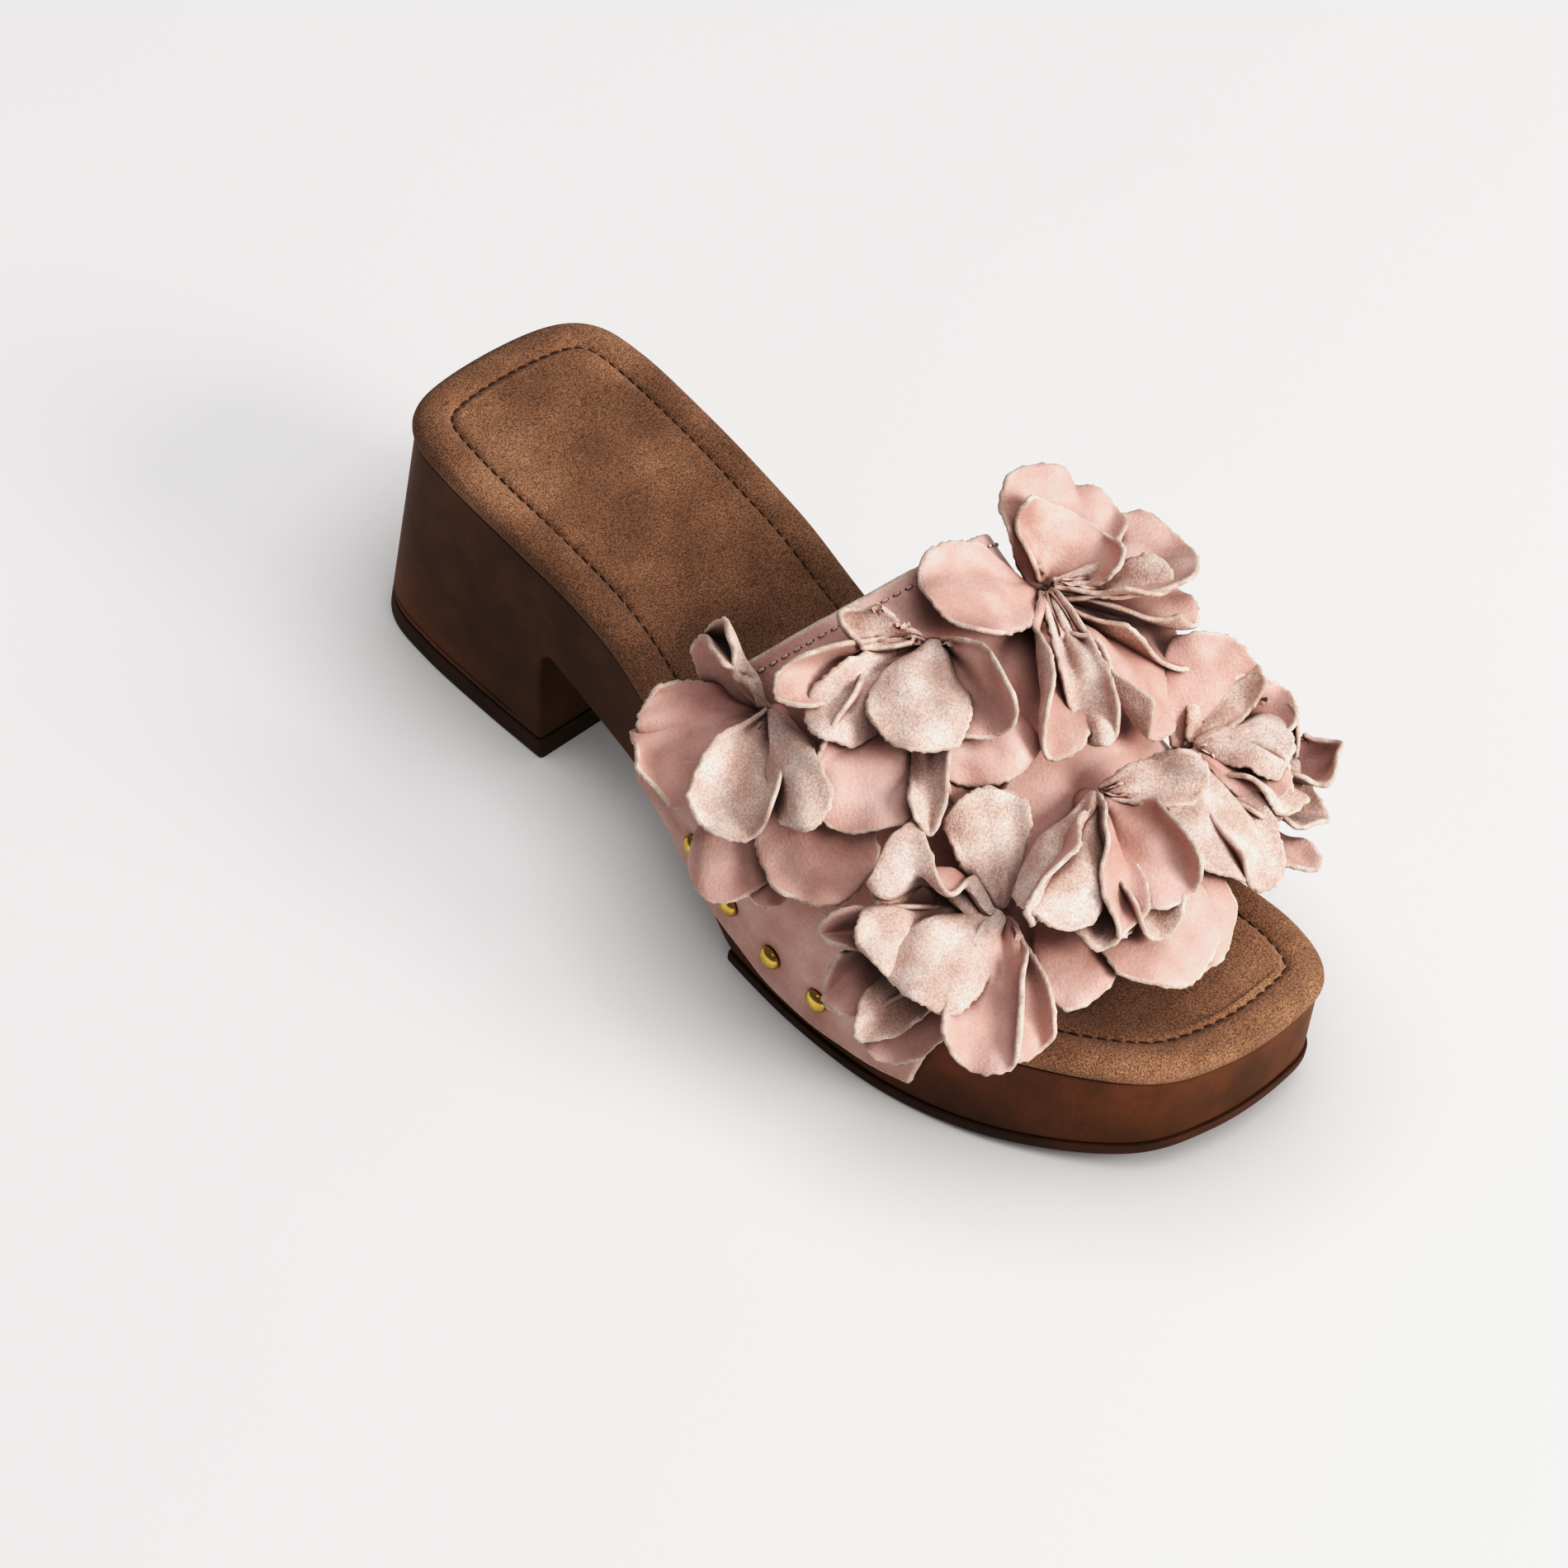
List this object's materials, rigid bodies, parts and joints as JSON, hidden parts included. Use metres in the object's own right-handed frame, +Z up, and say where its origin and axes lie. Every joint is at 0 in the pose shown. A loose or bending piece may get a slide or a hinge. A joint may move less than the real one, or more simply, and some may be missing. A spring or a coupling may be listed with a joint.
{
  "type": "heeled mule",
  "caption": "Women's slip-on mule for the right foot with a clog sole, block heel, suede footbed, studded leather vamp and leather flowers",
  "frame": {"origin": "middle of the heel's resting face, on the floor", "axes": "+X is the wearer's right, the lateral side of this right shoe; +Y points to the toe; +Z is up"},
  "size_m": [0.14, 0.254, 0.1071],
  "materials": {
    "base": "dark brown moulded clog base with low side steps, satin",
    "tread": "dark brown wearing layer, matt",
    "suede": "brown suede with a stitched rim",
    "grain": "dusty pink grain leather, soft sheen, raw pale edges",
    "stud": "polished domed brass"
  },
  "bodies": {
    "root": {"sole": "base", "heel_top_piece": "tread", "outsole": "tread", "footbed": "suede", "vamp": "grain", "flower_1": "grain", "flower_2": "grain", "flower_3": "grain", "flower_4": "grain", "flower_5": "grain", "flower_6": "grain", "stud_lateral_1": "stud", "stud_lateral_2": "stud", "stud_lateral_3": "stud", "stud_lateral_4": "stud", "stud_lateral_5": "stud", "stud_lateral_6": "stud", "stud_medial_1": "stud", "stud_medial_2": "stud", "stud_medial_3": "stud", "stud_medial_4": "stud", "stud_medial_5": "stud", "stud_medial_6": "stud"}
  },
  "joints": []
}
